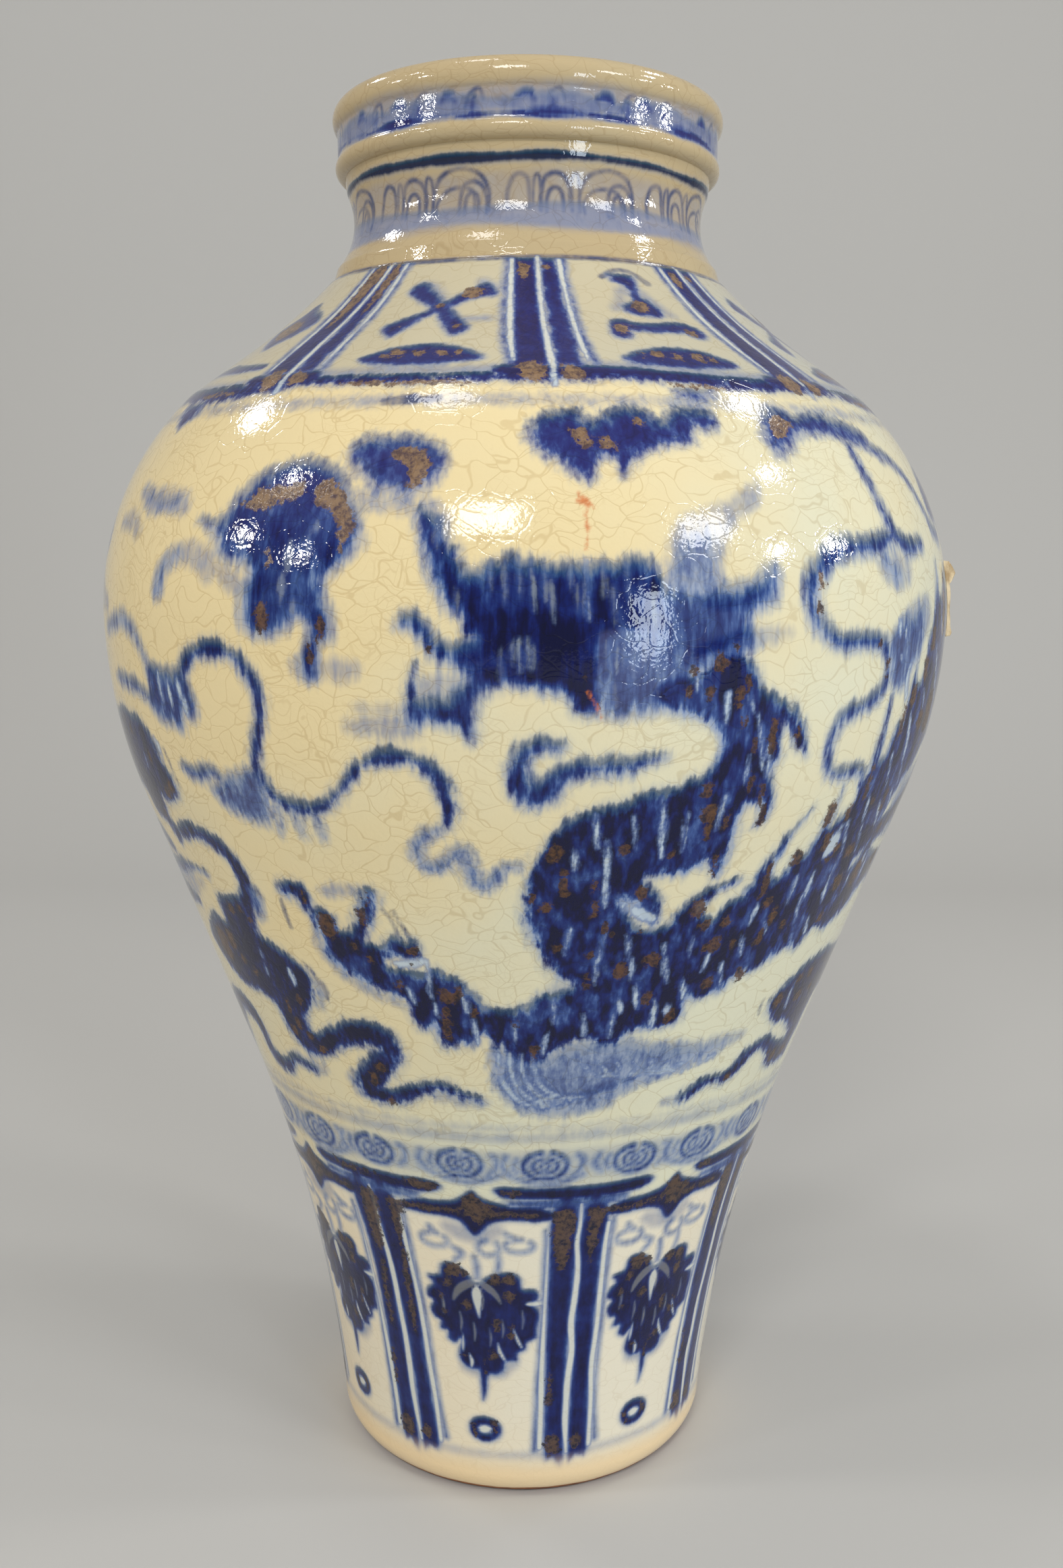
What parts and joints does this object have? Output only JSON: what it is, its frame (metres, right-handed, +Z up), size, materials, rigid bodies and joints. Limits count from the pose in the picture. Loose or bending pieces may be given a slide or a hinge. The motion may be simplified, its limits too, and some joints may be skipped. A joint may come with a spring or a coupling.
{
  "type": "meiping vase",
  "caption": "Tall crackle-glazed stoneware vase with a full upper belly, short waisted neck and rolled mouth, painted in cobalt blue.",
  "frame": {"origin": "centre of the foot ring, on the surface that the vase stands on", "axes": "+Z up along the axis of the vase, -Y towards the front of the painting, +X to the viewer's right"},
  "size_m": [0.309, 0.309, 0.5],
  "materials": {
    "crackle_glaze": "glossy cream crackle glaze over cobalt blue painting, bare clay at the foot ring",
    "luting_slip": "matt fired slip",
    "label_paper": "matt aged paper"
  },
  "bodies": {
    "root": {"lower_body": "crackle_glaze", "upper_body": "crackle_glaze", "shoulder": "crackle_glaze", "neck": "crackle_glaze", "mouth": "crackle_glaze", "waist_slip": "luting_slip", "ridge_slip": "luting_slip", "neck_slip": "luting_slip", "mouth_slip": "luting_slip", "paper_label": "label_paper"}
  },
  "joints": []
}
